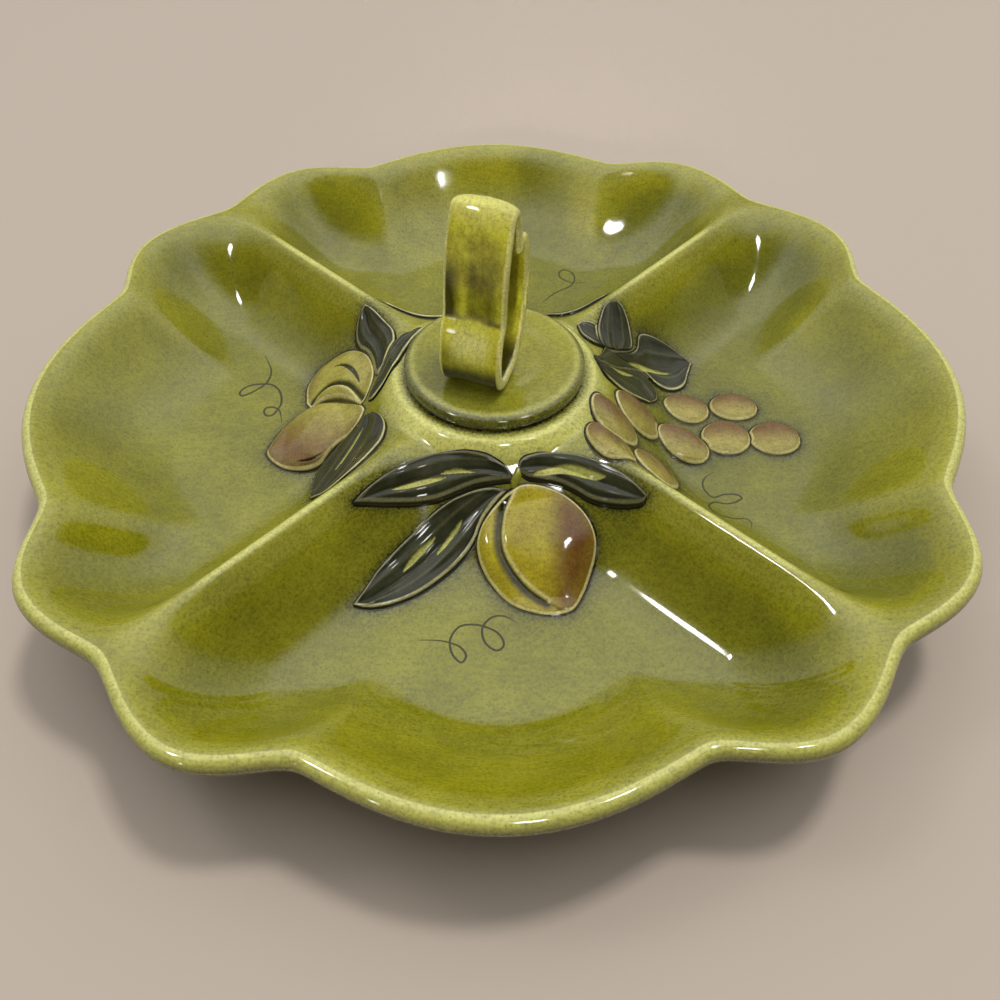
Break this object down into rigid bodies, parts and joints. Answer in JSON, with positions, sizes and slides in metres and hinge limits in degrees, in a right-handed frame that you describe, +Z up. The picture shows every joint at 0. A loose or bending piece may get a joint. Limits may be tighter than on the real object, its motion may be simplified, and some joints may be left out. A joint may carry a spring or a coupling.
{
  "type": "divided serving dish",
  "caption": "Round lobed serving dish with scooped compartments around a lidded centre well; the lift-off lid has a scroll strap handle, and fruit-and-leaf sprigs decorate the floor.",
  "frame": {"origin": "on the table, under the dish's axis: the centre of the foot ring's rest face", "axes": "+Z up along the dish's axis; compartments face -Y (front, with the peach), +X (right, with the grapes), +Y (back, with the apple) and -X (left, with the pears)"},
  "size_m": [0.33, 0.33, 0.1176],
  "materials": {
    "glaze": "glossy olive-green earthenware glaze, thin and yellower on the crests, pooled and darker in the hollows",
    "leaf_glaze": "black-green underglaze colour under the glossy glaze",
    "peach_glaze": "olive-yellow underglaze colour with a brown blush under the glossy glaze",
    "pear_glaze": "tan and olive underglaze colour under the glossy glaze",
    "grape_glaze": "tan-brown and olive underglaze colour under the glossy glaze",
    "apple_glaze": "olive-green underglaze colour under the glossy glaze"
  },
  "bodies": {
    "tray": {"tray": "glaze", "peach": "peach_glaze", "peach_leaf_left": "leaf_glaze", "peach_leaf_low": "leaf_glaze", "peach_leaf_right": "leaf_glaze", "pear_large": "pear_glaze", "pear_small": "pear_glaze", "pear_leaf_top": "leaf_glaze", "pear_leaf_collar": "leaf_glaze", "pear_leaf_low": "leaf_glaze", "grape_1": "grape_glaze", "grape_2": "grape_glaze", "grape_3": "grape_glaze", "grape_4": "grape_glaze", "grape_5": "grape_glaze", "grape_6": "grape_glaze", "grape_7": "grape_glaze", "grape_8": "grape_glaze", "grape_9": "grape_glaze", "vine_leaf": "leaf_glaze", "apple": "apple_glaze", "apple_leaf_left": "leaf_glaze", "apple_leaf_right": "leaf_glaze"},
    "lid": {"lid_disc": "glaze", "lid_handle": "glaze"}
  },
  "joints": [
    {"name": "lid_lift", "type": "slide", "parent": "tray", "child": "lid", "axis": [0, 0, 1], "range_m": [0, 0.06]}
  ]
}
